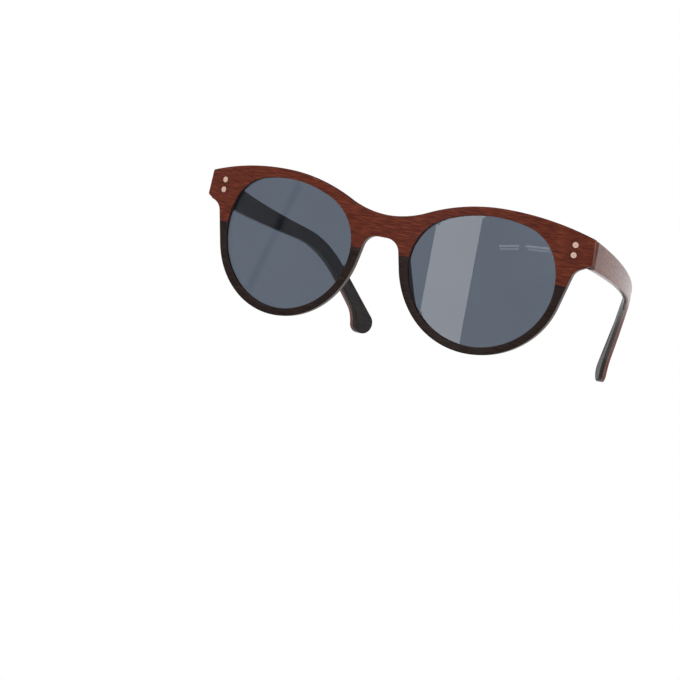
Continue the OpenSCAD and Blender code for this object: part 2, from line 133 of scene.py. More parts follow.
HINGE_Y = FRONT_R - math.sqrt((REAR_R - LEAF_T) ** 2 - HINGE_X ** 2) + KNUCKLE_R + LEAF_GAP
HINGE_H = KNUCKLES * (KNUCKLE_H + KNUCKLE_GAP) - KNUCKLE_GAP
MID_FALL = (TOP_FALL + LOW_FALL) / 2


# Plane geometry: points, arcs and outlines
def pt(x, y):
    return Vector((x, y))


def along(degrees):
    """Unit vector at an angle from the first axis."""
    return pt(math.cos(math.radians(degrees)), math.sin(math.radians(degrees)))


def angle_of(v):
    return math.degrees(math.atan2(v.y, v.x))


def turn_to(a, b):
    """The angle b in the turn that lies nearest to the angle a."""
    return a + (b - a + 540) % 360 - 180


def arc(c, r, a, b):
    """Points of an arc about c from the angle a to b."""
    n = max(3, math.ceil(abs(b - a) / ARC_STEP))
    return [c + r * along(a + (b - a) * i / n) for i in range(n + 1)]


def cross2(u, v):
    return u.x * v.y - u.y * v.x


def crossing(p, u, q, v):
    """Where the line through p along u meets the line through q along v."""
    return p + u * (cross2(q - p, v) / cross2(u, v))


def apart(p, rp, q, rq, side):
    """The point at the distance rp from p and rq from q, on one side of the line between them."""
    d = (q - p).length
    a = (rp * rp - rq * rq + d * d) / (2 * d)
    e = (q - p) / d
    return p + a * e + side * math.sqrt(rp * rp - a * a) * pt(-e.y, e.x)


def corner(p, v, q, r):
    """Round of radius r in the corner v between the directions of p and q."""
    a, b = (p - v).normalized(), (q - v).normalized()
    half = math.acos(a.dot(b)) / 2
    c = v + (a + b).normalized() * r / math.sin(half)
    run = r / math.tan(half)
    start = angle_of(v + a * run - c)
    return arc(c, r, start, turn_to(start, angle_of(v + b * run - c)))


def line(p, q, length=None):
    """Points from p to q. A given length sets their number where p and q move a little with depth."""
    n = max(1, math.ceil((length or (q - p).length) / LINE_STEP))
    return [p.lerp(q, i / n) for i in range(n + 1)]


def tidy(points):
    """A closed loop of the points, without those that repeat the one before."""
    out = []
    for p in points:
        if not out or (p - out[-1]).length > SAME_POINT:
            out.append(p)
    if (out[0] - out[-1]).length < SAME_POINT:
        out.pop()
    return out


def turned_left(loop):
    """The loop in the order that keeps its inside on the left."""
    area = sum(cross2(loop[i - 1], loop[i]) for i in range(len(loop)))
    return loop if area > 0 else loop[::-1]


def dense(loop):
    """The loop with points added, so that no edge is longer than a step."""
    out = []
    for i, p in enumerate(loop):
        out += line(p, loop[(i + 1) % len(loop)])[:-1]
    return out


def soften(loop, at, run):
    """Rounds the sharp corner of loop that lies at the point at, over a length run on both sides."""
    i = min(range(len(loop)), key=lambda k: (loop[k] - at).length)
    loop = loop[i:] + loop[:i]
    ends = []
    for way in (1, -1):
        k, gone, here = 0, 0.0, loop[0]
        while True:
            k += way
            step = (loop[k % len(loop)] - here).length
            if gone + step >= run:
                ends.append((k % len(loop), here.lerp(loop[k % len(loop)], (run - gone) / step)))
                break
            gone, here = gone + step, loop[k % len(loop)]
    (after, p2), (before, p0) = ends
    half = math.acos((p0 - loop[0]).normalized().dot((p2 - loop[0]).normalized())) / 2
    return tidy(corner(p0, loop[0], p2, run * math.tan(half)) + loop[after:before + 1])


def inside(points, loop):
    """Which of the points, an array of rows, lie inside a loop."""
    a = np.array([tuple(p) for p in loop])
    b = np.roll(a, 1, axis=0)
    x, y = points[:, 0:1], points[:, 1:2]
    rise = np.where(b[:, 1] == a[:, 1], 1e-12, b[:, 1] - a[:, 1])
    crossed = ((a[:, 1] > y) != (b[:, 1] > y)) & (x < a[:, 0] + (y - a[:, 1]) / rise * (b[:, 0] - a[:, 0]))
    return crossed.sum(axis=1) % 2 == 1


def in_region(points, loops):
    """Which of the points lie inside the first loop and outside the others."""
    held = inside(points, loops[0])
    for hole in loops[1:]:
        held &= ~inside(points, hole)
    return held


def inset(loop, s, held=()):
    """Moves a left-turning loop inwards by s.
    Held points stay, or slide along the edge that follows or precedes them."""
    out = []
    n = len(loop)
    for i in range(n):
        q = loop[i]
        a = (q - loop[i - 1]).normalized()
        b = (loop[(i + 1) % n] - q).normalized()
        na, nb = pt(-a.y, a.x), pt(-b.y, b.x)
        if i in held and held[i] == "stay":
            out.append(q)
        elif i in held:
            slide, normal = (b, na) if held[i] == "next" else (-a, nb)
            out.append(q + slide * (s / slide.dot(normal)))
        else:
            out.append(q + (na + nb) * (s / (1 + na.dot(nb))))
    return out


def lens_outline(g):
    """Opening for the left lens, grown by g: a round bottom, a flatter top and two upper corners."""
    low = pt(LENS_X, LENS_Z)
    top = pt(LENS_X + TOP_SHIFT, LENS_TOP - LENS_TOP_R)
    out = apart(low, LENS_R - LENS_OUT_R, top, LENS_TOP_R - LENS_OUT_R, 1)
    inn = apart(low, LENS_R - LENS_IN_R, top, LENS_TOP_R - LENS_IN_R, -1)
    in_turn = turn_to(180, angle_of(inn - low))
    points = arc(low, LENS_R + g, in_turn, 360 + angle_of(out - low))
    points += arc(out, LENS_OUT_R + g, angle_of(out - low), angle_of(out - top))
    points += arc(top, LENS_TOP_R + g, angle_of(out - top), angle_of(inn - top))
    points += arc(inn, LENS_IN_R + g, angle_of(inn - top), in_turn)
    return turned_left(tidy(points))


def front_outline():
    """Bridge, brow, end piece, hollow, rim, nose side and arch of one half, and their mirror image."""
    brow = pt(BROW_X, BROW_TOP - BROW_IN_R)
    far = pt(BROW_X, BROW_TOP - BROW_OUT_R)
    k = BRIDGE_TOP - brow.y
    bridge_r = (BROW_X ** 2 + k * k - BROW_IN_R ** 2) / (2 * (BROW_IN_R - k))
    bridge = pt(0, BRIDGE_TOP + bridge_r)
    bridge_end = angle_of(brow - bridge)
    end_low = pt(END_X, END_LOW_Z)
    end_turn = math.degrees(math.acos((END_TOP_X - BROW_X) / BROW_OUT_R))
    rim = pt(RIM_X, RIM_Z)
    rim_out = rim + RIM_R * along(-RIM_SLOPE)
    nose = rim + (RIM_R - NOSE_R) * along(180 + NOSE_TURN)
    nose_in = nose + NOSE_R * along(180 + NOSE_SLOPE)
    notch = crossing(end_low, along(180 + END_FALL), rim_out, along(90 - RIM_SLOPE))
    arch = pt(nose_in.x - math.tan(math.radians(NOSE_SLOPE)) * (ARCH_TOP - nose_in.y), ARCH_TOP)
    half = arc(bridge, bridge_r, -90, bridge_end)
    half += arc(brow, BROW_IN_R, bridge_end + 180, 90)
    half += arc(far, BROW_OUT_R, 90, end_turn)
    end_top = half[-1].copy()
    half += [end_low]
    half += corner(end_low, notch, rim_out, NOTCH_R)
    half += arc(rim, RIM_R, -RIM_SLOPE, NOSE_TURN - 180)
    half += arc(nose, NOSE_R, NOSE_TURN - 180, NOSE_SLOPE - 180)
    half += corner(nose_in, arch, pt(0, ARCH_TOP), ARCH_R)
    loop = tidy(half + [pt(-p.x, p.y) for p in reversed(half)])
    for sharp in (end_top, end_low):
        for s, _ in SIDES:
            loop = soften(loop, pt(s * sharp.x, sharp.y), CORNER_RUN)
    return dense(turned_left(loop))


def temple_outline(depth):
    """Side view of the temple at a depth below its outer face, and the points held on its front end."""
    r = TEMPLE_R - depth
    y = BUTT_Y
    for _ in range(SETTLING_ROUNDS):
        x = BEND_X + math.sqrt(r * r - (y - BEND_Y) ** 2)
        y = FRONT_R - math.sqrt(BUTT_R ** 2 - x * x)
    top_line, low_line = pt(BUTT_Y, TEMPLE_TOP), pt(BUTT_Y, TEMPLE_LOW)
    tip = pt(TIP_Y, TIP_Z)
    ear_top = tip + TIP_R * along(90 - EAR_FALL)
    low_fall = EAR_FALL + EAR_TAPER
    top_v = crossing(top_line, along(-TOP_FALL), ear_top, along(-EAR_FALL))
    ear_low = top_v + EAR_AT * along(-EAR_FALL) - EAR_W * along(90 - EAR_FALL)
    low_v = crossing(low_line, along(-LOW_FALL), ear_low, along(-low_fall))
    reach = ear_low - HOLLOW_R * along(90 - low_fall) - tip
    b = reach.dot(along(-low_fall))
    q = -b - math.sqrt(b * b - reach.dot(reach) + (TIP_R + HOLLOW_R) ** 2)
    hollow = tip + reach + q * along(-low_fall)
    turn = angle_of(hollow - tip)
    front_top = crossing(pt(y, 0), along(90), top_line, along(-TOP_FALL))
    front_low = crossing(pt(y, 0), along(90), low_line, along(-LOW_FALL))
    top_bend = corner(top_line, top_v, ear_top, BEND_R)
    low_bend = corner(ear_low, low_v, low_line, BEND_R)
    points = line(front_top, top_bend[0], (top_bend[0] - top_line).length) + top_bend
    points += arc(tip, TIP_R, 90 - EAR_FALL, turn_to(-90, turn))
    points += arc(hollow, HOLLOW_R, turn_to(90, turn + 180), turn_to(90, 90 - low_fall))
    points += low_bend
    points += line(low_bend[-1], front_low, (low_bend[-1] - low_line).length)
    points += line(front_low, front_top, (top_line - low_line).length)[:-1]
    loop = tidy(points)[::-1]
    top_i = min(range(len(loop)), key=lambda k: (loop[k] - front_top).length)
    low_i = min(range(len(loop)), key=lambda k: (loop[k] - front_low).length)
    held = {i: "stay" for i in range(low_i)}
    held.update({top_i: "next", low_i: "previous"})
    return loop, held


# From plane points and a depth below the face to space
def on_front(p, d):
    return Vector((p.x, FRONT_R - math.sqrt((FRONT_R - d) ** 2 - p.x ** 2), p.y))


def on_temple(p, d):
    return Vector((BEND_X + math.sqrt((TEMPLE_R - d) ** 2 - (p.x - BEND_Y) ** 2), p.x, p.y))


# Upright axes that the front and the temples are bent about
FRONT_AXIS = pt(0, FRONT_R)
TEMPLE_AXIS = pt(BEND_X, BEND_Y)

# Lean at which rims and ear tips stand on the table
rim_low = RIM_Z - RIM_R
rim_y = FRONT_R - math.sqrt(FRONT_R ** 2 - RIM_X ** 2)
lean_run, lean_drop = TIP_Y - rim_y, TIP_Z - rim_low
LEAN = math.asin(TIP_R / math.hypot(lean_run, lean_drop)) - math.atan2(lean_drop, lean_run)
LIFT = -rim_y * math.sin(LEAN) - rim_low * math.cos(LEAN)
most_front = -BRIDGE_TOP * math.sin(LEAN)
most_back = TIP_Y * math.cos(LEAN) - TIP_Z * math.sin(LEAN) + TIP_R
TURN = Matrix.Rotation(LEAN, 4, "X")
PLACE = Matrix.Translation((0, -(most_front + most_back) / 2, LIFT)) @ TURN
MIRROR = Matrix.Scale(-1, 4, Vector((1, 0, 0)))


# Solids
def profile(d0, d1, front_round, rear_round):
    """Rings of a board's edge from the depth d0 to d1: how far in from the outline, and at which depth."""
    rings = []
    for i in range(ROUND_STEPS + 1 if front_round else 1):
        a = math.radians(90 * i / ROUND_STEPS)
        rings.append((front_round * (1 - math.sin(a)), d0 + front_round * (1 - math.cos(a))))
    for i in range(ROUND_STEPS, -1, -1) if rear_round else (0,):
        a = math.radians(90 * i / ROUND_STEPS)
        rings.append((rear_round * (1 - math.sin(a)), d1 - rear_round * (1 - math.cos(a))))
    return rings


def reached(corners, edges, inner):
    """The triangles that can be reached from the points numbered inner or more without crossing an edge."""
    walls = {frozenset(e) for e in edges}
    beside = {}
    for t, (i, j, k) in enumerate(corners):
        for side in ((i, j), (j, k), (k, i)):
            beside.setdefault(frozenset(side), []).append(t)
    found = set()
    todo = [t for t, ends in enumerate(corners) if max(ends) >= inner]
    while todo:
        t = todo.pop()
        if t in found:
            continue
        found.add(t)
        i, j, k = corners[t]
        for side in ((i, j), (j, k), (k, i)):
            if frozenset(side) not in walls:
                todo += beside[frozenset(side)]
    return sorted(found)


def fill(bm, loops, verts, space, d, grid):
    """Covers the region inside the first loop and outside the others with triangles on a grid."""
    flat, owners, edges = [], [], []
    for loop, ring in zip(loops, verts):
        base = len(flat)
        flat += loop
        owners += ring
        edges += [(base + i, base + (i + 1) % len(loop)) for i in range(len(loop))]
    rim = np.array([tuple(p) for p in flat])
    low, high = rim.min(axis=0), rim.max(axis=0)
    row_step = grid * ROW_SHARE
    spots = []
    for row in range(int((high[1] - low[1]) / row_step) + 1):
        shift = grid / 2 if row % 2 else 0
        spots += [(x + shift, low[1] + row * row_step) for x in np.arange(low[0], high[0], grid)]
    spots = np.array(spots)
    spots = spots[in_region(spots, loops)]
    near = np.array([((rim - p) ** 2).sum(axis=1).min() for p in spots])
    for x, y in spots[near > (RIM_SHARE * grid) ** 2]:
        flat.append(pt(x, y))
        owners.append(bm.verts.new(space(flat[-1], d)))
    _, _, triangles, origin, _, _ = delaunay_2d_cdt(flat, edges, [], 0, TRIANGLE_TOUCH)
    corners = [[origin[k][0] for k in tri] for tri in triangles]
    for t in reached(corners, edges, len(rim)):
        bm.faces.new([owners[k] for k in corners[t]])


def board(outline, holes, d0, d1, rounds, space, grid=FACE_GRID):
    """A bent board between two depths: an outline as a function of depth, and holes
    with roundings of their own."""
    bm = bmesh.new()
    fronts, rears = [], []
    for shape, front_round, rear_round, sign in [(outline, *rounds, 1)] + holes:
        made = []
        for s, d in profile(d0, d1, front_round, rear_round):
            loop, held = shape(d)
            loop = inset(loop, sign * s, held)
            made.append((loop, [bm.verts.new(space(p, d)) for p in loop]))
        for (_, one), (_, two) in zip(made, made[1:]):
            for i in range(len(one)):
                bm.faces.new((one[i - 1], one[i], two[i], two[i - 1]))
        fronts.append(made[0])
        rears.append(made[-1])
    for ends, d in ((fronts, d0), (rears, d1)):
        fill(bm, [loop for loop, _ in ends], [ring for _, ring in ends], space, d, grid)
    bmesh.ops.recalc_face_normals(bm, faces=bm.faces)
    return bm


def fixed(loop):
    """An outline that is the same at every depth, with no point held."""
    return lambda d: (loop, {})


def cut_level(bm, z, keep_above):
    """Keeps the part of a solid above or below a level, and closes the cut."""
    geom = bm.verts[:] + bm.edges[:] + bm.faces[:]
    bmesh.ops.bisect_plane(
        bm, geom=geom, dist=CUT_TOUCH, plane_co=(0, 0, z), plane_no=(0, 0, 1),
        clear_inner=keep_above, clear_outer=not keep_above)
    bmesh.ops.holes_fill(bm, edges=[e for e in bm.edges if e.is_boundary], sides=0)
    bmesh.ops.recalc_face_normals(bm, faces=bm.faces)


def keep_side(bm, s):
    """Keeps what lies on one side of the middle."""
    gone = [v for v in bm.verts if v.co.x * s < 0]
    bmesh.ops.delete(bm, geom=gone, context="VERTS")


def lathe(rings):
    """A turned piece about z: rings are (radius, height) from one end to the other, closed on the axis."""
    bm = bmesh.new()
    ways = [along(360 * i / LATHE_TURNS) for i in range(LATHE_TURNS)]
    rows = []
    for r, h in rings:
        if r < ON_AXIS:
            rows.append([bm.verts.new((0, 0, h))])
        else:
            rows.append([bm.verts.new((r * way.x, r * way.y, h)) for way in ways])
    for a, b in zip(rows, rows[1:]):
        for i in range(LATHE_TURNS):
            if len(a) == 1:
                bm.faces.new((a[0], b[i], b[i - 1]))
            elif len(b) == 1:
                bm.faces.new((a[i - 1], a[i], b[0]))
            else:
                bm.faces.new((a[i - 1], a[i], b[i], b[i - 1]))
    bmesh.ops.recalc_face_normals(bm, faces=bm.faces)
    return bm


def domed(shares, r, z, h):
    """Rings of a rounded end of radius r that starts at the height z and is h high."""
    return [(r * wide, z + h * high) for wide, high in shares]


def loose_object(name, bm):
    """A helper object made of a bmesh, which is used up."""
    mesh = bpy.data.meshes.new(name)
    bm.to_mesh(mesh)
    bm.free()
    obj = bpy.data.objects.new(name, mesh)
    bpy.context.scene.collection.objects.link(obj)
    return obj


def slotted(bm, size, centre):
    """The solid with a box cut out of it."""
    box = bmesh.new()
    bmesh.ops.create_cube(box, size=1, matrix=Matrix.Translation(centre) @ Matrix.Diagonal((*size, 1)))
    blank = loose_object("blank", bm)
    cutter = loose_object("cutter", box)
    tool = blank.modifiers.new("slot", "BOOLEAN")
    tool.object = cutter
    tool.operation = "DIFFERENCE"
    tool.solver = "EXACT"
    bpy.context.view_layer.update()
    out = bmesh.new()
    out.from_mesh(blank.evaluated_get(bpy.context.evaluated_depsgraph_get()).to_mesh())
    for obj in (blank, cutter):
        data = obj.data
        bpy.data.objects.remove(obj)
        bpy.data.meshes.remove(data)
    return out


def copies(bm, places):
    """One bmesh of several copies, each moved by its own matrix."""
    out = bmesh.new()
    for matrix in places:
        mesh = bpy.data.meshes.new("copy")
        bm.to_mesh(mesh)
        mesh.transform(matrix)
        out.from_mesh(mesh)
        bpy.data.meshes.remove(mesh)
    return out


def front_grain(co):
    """Place in the flat veneer of the front: along the fibres, into the wood, across."""
    return FRONT_R * math.atan2(co.x, FRONT_R - co.y), FRONT_R - math.hypot(co.x, FRONT_R - co.y), co.z


def temple_grain(co):
    """The same in the flat veneer of a temple, whose fibres follow its straight run."""
    run = TEMPLE_R * math.atan2(co.y - BEND_Y, co.x - BEND_X)
    fall = math.radians(MID_FALL)
    return (run * math.cos(fall) - co.z * math.sin(fall),
            TEMPLE_R - math.hypot(co.x - BEND_X, co.y - BEND_Y),
            run * math.sin(fall) + co.z * math.cos(fall))


def mark_edges(bm, axis, ends):
    """Gives the faces that lie across a board's own curve, bent about an upright axis, the second material.
    Where the front's ends are marked too, they get the third, a pale colour that is painted sheen."""
    bm.normal_update()
    for f in bm.faces:
        centre = f.calc_center_median()
        outwards = Vector((centre.x - axis.x, centre.y - axis.y, 0)).normalized()
        across = abs(f.normal.dot(outwards)) < EDGE_COSINE
        at_end = ends and abs(centre.x) > END_TOP_X - ROUND_OUT
        f.material_index = (2 if at_end else 1) if across else 0


def piece(name, bm, mat, body, cad_node, side=1, grain=None, edge=None, end=None, axis=FRONT_AXIS):
    """Puts a solid, drawn in millimetres in the front's own frame, into the scene in place of a node."""
    places = [grain(v.co) for v in bm.verts] if grain else []
    if edge:
        mark_edges(bm, axis, end)
    if side < 0:
        bmesh.ops.transform(bm, matrix=MIRROR, verts=bm.verts)
        bmesh.ops.reverse_faces(bm, faces=bm.faces)
    bmesh.ops.transform(bm, matrix=Matrix.Scale(MM, 4) @ PLACE, verts=bm.verts)
    mesh = bpy.data.meshes.new(name)
    bm.to_mesh(mesh)
    bm.free()
    mesh.polygons.foreach_set("use_smooth", [True] * len(mesh.polygons))
    mesh.set_sharp_from_angle(angle=math.radians(SHARP_ANGLE))
    for surface in (mat, edge, end):
        if surface:
            mesh.materials.append(surface)
    if places:
        cells = mesh.attributes.new("grain", "FLOAT_VECTOR", "POINT")
        cells.data.foreach_set("vector", [c + OTHER_SIDE * (side < 0) for place in places for c in place])
    obj = bpy.data.objects.new(name, mesh)
    bpy.context.scene.collection.objects.link(obj)
    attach(obj, body)
    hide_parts(cad_node)
    return obj


# Numbers of the sockets of a colour mix, and how far a seed moves the noise along each axis
MIX_FACTOR, MIX_A, MIX_B, MIX_OUT = 0, 6, 7, 2
SEED_STEPS = (1, 1.7, 2.3)

# Wood: cells of tone, streaks and pores in millimetres along the fibres, into the wood and across
TONE_CELL, STREAK_CELL, PORE_CELL = (45, 3.2, 3.2), (5.0, 0.19, 0.2), (2.4, 0.13, 0.14)
TONE_DARK, TONE_LIGHT = (0.9, 0.88, 0.86, 1), (1.1, 1.08, 1.06, 1)
STREAK_STOPS = (0.30, 0.50, 0.72)
TONE_RANGE, PORE_RANGE, NOISE_RANGE, TOP_RANGE = (0.35, 0.65), (0.34, 0.44), (0.3, 0.7), (0.2, 0.6)
STREAK_SEED, PORE_SEED = 3, 7
PORE_ROUGHER, STREAK_SMOOTHER = 0.05, 0.04
PORE_DEPTH = 0.03 * MM

# Lenses and metal
LENS_DARK, LENS_LIGHT, LENS_IOR = (0.101, 0.122, 0.158, 1), (0.107, 0.129, 0.167, 1), 1.5
SMEAR_CELL, BRUSHED_CELL, CAST_CELL = (30, 30, 30), (3, 0.12, 0.12), (0.5, 0.5, 0.5)
LINE_SMOOTHER, LINE_ROUGHER = 0.06, 0.08
SCRATCH_BUMP, SCRATCH_DEPTH = 0.15, 0.02 * MM


# Materials
def srgb(r, g, b):
    """Linear colour of a screen colour."""
    out = []
    for c in (r, g, b):
        c /= 255
        out.append(c / 12.92 if c <= 0.04045 else ((c + 0.055) / 1.055) ** 2.4)
    return (*out, 1.0)


def node(tree, kind, **values):
    """A new shader node with its settings and socket values."""
    n = tree.nodes.new(kind)
    for key, value in values.items():
        if hasattr(n, key):
            setattr(n, key, value)
        else:
            n.inputs[key.replace("_", " ")].default_value = value
    return n


def blank_material(name):
    """A new material with its tree and its shader."""
    mat = bpy.data.materials.new(name)
    mat.use_nodes = True
    tree = mat.node_tree
    return mat, tree, tree.nodes["Principled BSDF"]


def stretched_noise(tree, cell, detail=2.0, rough=0.5, seed=0.0, grain=False):
    """Noise whose cells have the given size in millimetres, on the object's axes or on the wood's own."""
    scale = node(tree, "ShaderNodeMapping", vector_type="POINT")
    unit = 1 if grain else MM
    scale.inputs["Scale"].default_value = tuple(1 / (c * unit) for c in cell)
    scale.inputs["Location"].default_value = tuple(seed * step for step in SEED_STEPS)
    noise = node(tree, "ShaderNodeTexNoise", Scale=1.0, Detail=detail, Roughness=rough)
    if grain:
        place = node(tree, "ShaderNodeAttribute", attribute_name="grain").outputs["Vector"]
    else:
        place = node(tree, "ShaderNodeTexCoord").outputs["Object"]
    tree.links.new(place, scale.inputs["Vector"])
    tree.links.new(scale.outputs["Vector"], noise.inputs["Vector"])
    return noise.outputs["Fac"]


def ramp(tree, fac, positions, colours):
    """Colours blended from one position of a value to the next."""
    n = node(tree, "ShaderNodeValToRGB")
    while len(n.color_ramp.elements) < len(positions):
        n.color_ramp.elements.new(0.5)
    for e, at, colour in zip(n.color_ramp.elements, positions, colours):
        e.position = at
        e.color = colour
    tree.links.new(fac, n.inputs["Fac"])
    return n.outputs["Color"]


def span(tree, fac, a, b, c, d):
    """Maps the range from a to b onto the range from c to d."""
    n = node(tree, "ShaderNodeMapRange", clamp=True)
    for key, value in zip(("From Min", "From Max", "To Min", "To Max"), (a, b, c, d)):
        n.inputs[key].default_value = value
    tree.links.new(fac, n.inputs["Value"])
    return n.outputs["Result"]


def blended(tree, fac, a, b, mode="MIX"):
    """Mix of two colours, each a fixed value or an output."""
    n = node(tree, "ShaderNodeMix", data_type="RGBA", blend_type=mode)
    for value, at in ((fac, MIX_FACTOR), (a, MIX_A), (b, MIX_B)):
        if isinstance(value, (int, float, tuple)):
            n.inputs[at].default_value = value
        else:
            tree.links.new(value, n.inputs[at])
    return n.outputs[MIX_OUT]


def maths(tree, operation, *values):
    """Result of a maths node on one or two outputs."""
    n = node(tree, "ShaderNodeMath", operation=operation)
    for value, socket in zip(values, n.inputs):
        tree.links.new(value, socket)
    return n.outputs[0]


def add_bump(tree, bsdf, height, strength, depth):
    """Bends a shader's normals by a height."""
    bump = node(tree, "ShaderNodeBump", Strength=strength, Distance=depth)
    tree.links.new(height, bump.inputs["Height"])
    tree.links.new(bump.outputs["Normal"], bsdf.inputs["Normal"])


def wood(name, dark, mid, light, seed=0.0, pores=0.45, roughness=0.36, specular=0.1, bumps=0.3,
         matt_top=False):
    """Fine-pored wood: slow bands of tone, short streaks along the grain, and dark pores.
    Faces that look up can be matt."""
    mat, tree, bsdf = blank_material(name)
    bands = stretched_noise(tree, TONE_CELL, seed=seed, grain=True)
    streaks = stretched_noise(tree, STREAK_CELL, seed=seed + STREAK_SEED, grain=True)
    dashes = stretched_noise(tree, PORE_CELL, seed=seed + PORE_SEED, grain=True)
    base = ramp(tree, streaks, STREAK_STOPS, (dark, mid, light))
    tone = span(tree, bands, *TONE_RANGE, 0.0, 1.0)
    shade = blended(tree, tone, TONE_DARK, TONE_LIGHT)
    toned = blended(tree, 1.0, base, shade, "MULTIPLY")
    pore = span(tree, dashes, *PORE_RANGE, pores, 0.0)
    tree.links.new(blended(tree, pore, toned, dark), bsdf.inputs["Base Color"])
    bsdf.inputs["Specular IOR Level"].default_value = specular
    if matt_top:
        facing = node(tree, "ShaderNodeSeparateXYZ")
        tree.links.new(node(tree, "ShaderNodeNewGeometry").outputs["Normal"], facing.inputs["Vector"])
        gleam = span(tree, facing.outputs["Z"], *TOP_RANGE, specular, 0.0)
        tree.links.new(gleam, bsdf.inputs["Specular IOR Level"])
    rough = span(tree, streaks, *NOISE_RANGE, roughness + PORE_ROUGHER, roughness - STREAK_SMOOTHER)
    tree.links.new(rough, bsdf.inputs["Roughness"])
    add_bump(tree, bsdf, dashes, bumps, PORE_DEPTH)
    return mat


def lens_material():
    """Clear grey tint with a hardly visible smear."""
    mat, tree, bsdf = blank_material("grey_lens")
    smear = stretched_noise(tree, SMEAR_CELL, seed=61)
    tint = ramp(tree, smear, NOISE_RANGE, (LENS_DARK, LENS_LIGHT))
    tree.links.new(tint, bsdf.inputs["Base Color"])
    bsdf.inputs["Transmission Weight"].default_value = 1.0
    bsdf.inputs["IOR"].default_value = LENS_IOR
    bsdf.inputs["Roughness"].default_value = 0.0
    return mat


def metal(name, dark, light, roughness, cell, metallic):
    """Metal with fine marks in its tone, its gloss and its height."""
    mat, tree, bsdf = blank_material(name)
    lines = stretched_noise(tree, cell, detail=3.0, rough=0.6, seed=71)
    tree.links.new(ramp(tree, lines, NOISE_RANGE, (dark, light)), bsdf.inputs["Base Color"])
    rough = span(tree, lines, *NOISE_RANGE, roughness - LINE_SMOOTHER, roughness + LINE_ROUGHER)
    tree.links.new(rough, bsdf.inputs["Roughness"])
    bsdf.inputs["Metallic"].default_value = metallic
    add_bump(tree, bsdf, lines, SCRATCH_BUMP, SCRATCH_DEPTH)
    return mat


red_front = wood("red_wood_front", srgb(58, 22, 15), srgb(85, 37, 27), srgb(124, 61, 38), pores=0.3)
red_edge = wood("red_wood_edge", srgb(40, 17, 15), srgb(58, 27, 24), srgb(76, 38, 33), seed=5,
                specular=0.3, matt_top=True)
# End walls of the front: a pale, greyed colour with no gloss of its own, painted sheen in place of the
# gleam these walls catch
end_wall_painted_sheen = wood("red_wood_end_painted_sheen", srgb(92, 62, 55), srgb(114, 79, 71), srgb(134, 96, 86), seed=9,
               pores=0.3, specular=0.0)
red_temple = wood("red_wood_temple", srgb(64, 25, 18), srgb(94, 41, 32), srgb(128, 64, 44), seed=11,
                  pores=0.3, roughness=0.2, specular=0.5, bumps=0.15)
# Edges of the temples' red outer ply: their own wood, but paler and greyer than the face, which is partly
# painted sheen
outer_edge_and_sheen = wood("red_wood_temple_edge_and_sheen", srgb(82, 50, 46), srgb(108, 70, 64), srgb(130, 88, 80), seed=15,
                  pores=0.3, roughness=0.18, specular=0.5, bumps=0.1)
dark_front = wood("dark_wood_front", srgb(24, 17, 15), srgb(38, 29, 27), srgb(54, 43, 38), seed=21,
                  pores=0.4)
dark_edge = wood("dark_wood_edge", srgb(34, 25, 24), srgb(52, 40, 38), srgb(68, 54, 51), seed=25,
                 specular=0.15, matt_top=True)
dark_temple = wood("dark_wood_temple", srgb(32, 29, 29), srgb(42, 39, 40), srgb(52, 48, 48), seed=31,
                   pores=0.3)
inner_edge = wood("dark_wood_temple_edge", srgb(26, 22, 22), srgb(38, 34, 34), srgb(50, 45, 45), seed=35,
                  pores=0.3, roughness=0.18, specular=0.5, bumps=0.1)
brown_core = wood("brown_wood_core", srgb(50, 30, 26), srgb(74, 48, 42), srgb(96, 66, 58), seed=41,
                  specular=0.2, matt_top=True)
tan_ply = wood("tan_wood_middle", srgb(84, 58, 52), srgb(116, 84, 76), srgb(140, 106, 96), seed=51,
               pores=0.3, roughness=0.18, specular=0.5, bumps=0.1)
lens_grey = lens_material()
steel = metal("hinge_steel", srgb(165, 166, 168), srgb(196, 197, 199), 0.3, BRUSHED_CELL, 1.0)
cream = metal("rivet_metal", srgb(196, 164, 148), srgb(214, 182, 165), 0.38, CAST_CELL, 0.2)


# The front: three face veneers, the core and the ply on the wearer's side
def openings(grow, front_round, rear_round):
    """Both lens openings as holes of a board."""
    left = lens_outline(grow)
    right = turned_left([pt(-p.x, p.y) for p in left])
    return [(fixed(left), front_round, rear_round, -1), (fixed(right), front_round, rear_round, -1)]


def rivet_holes(r):
    """Round holes in the sloping face, as they look from the front."""
    squeeze = math.sqrt(1 - (RIVET_X / FRONT_R) ** 2)
    made = []
    for s, _ in SIDES:
        for z in RIVET_LEVELS:
            ways = [along(a) for a in range(0, 360, HOLE_STEP)]
            loop = [pt(s * RIVET_X, z) + pt(r * squeeze * way.x, r * way.y) for way in ways]
            made.append((fixed(loop), 0, 0, -1))
    return made


front_loop = front_outline()
face_holes = openings(0, ROUND_OPEN, 0) + rivet_holes(RIVET_HEAD_R + HOLE_PLAY)
face = board(fixed(front_loop), face_holes, 0, FACE, (ROUND_OUT, 0), on_front)
brow = face.copy()
cut_level(brow, SEAM_Z, True)
# The brow's end walls get the painted sheen
piece("brow_veneer_wood", brow, red_front, "front", "brow_veneer", grain=front_grain,
      edge=red_edge, end=end_wall_painted_sheen)
cut_level(face, SEAM_Z, False)
for s, side in SIDES:
    rim = face.copy()
    keep_side(rim, s)
    piece(side + "_rim_veneer_wood", rim, dark_front, "front", side + "_rim_veneer",
          grain=front_grain, edge=dark_edge)
face.free()
core = board(fixed(front_loop), openings(GROOVE, 0, 0), FACE, FACE + CORE, (0, 0), on_front)
# The core's end walls get the painted sheen too
piece("front_core_ply_wood", core, brown_core, "front", "front_core_ply", grain=front_grain,
      edge=brown_core, end=end_wall_painted_sheen)
rear_holes = openings(0, 0, ROUND_REAR_OPEN)
rear = board(fixed(front_loop), rear_holes, FACE + CORE, FRONT_T, (0, ROUND_REAR), on_front)
piece("front_back_ply_wood", rear, dark_front, "front", "front_back_ply", grain=front_grain)


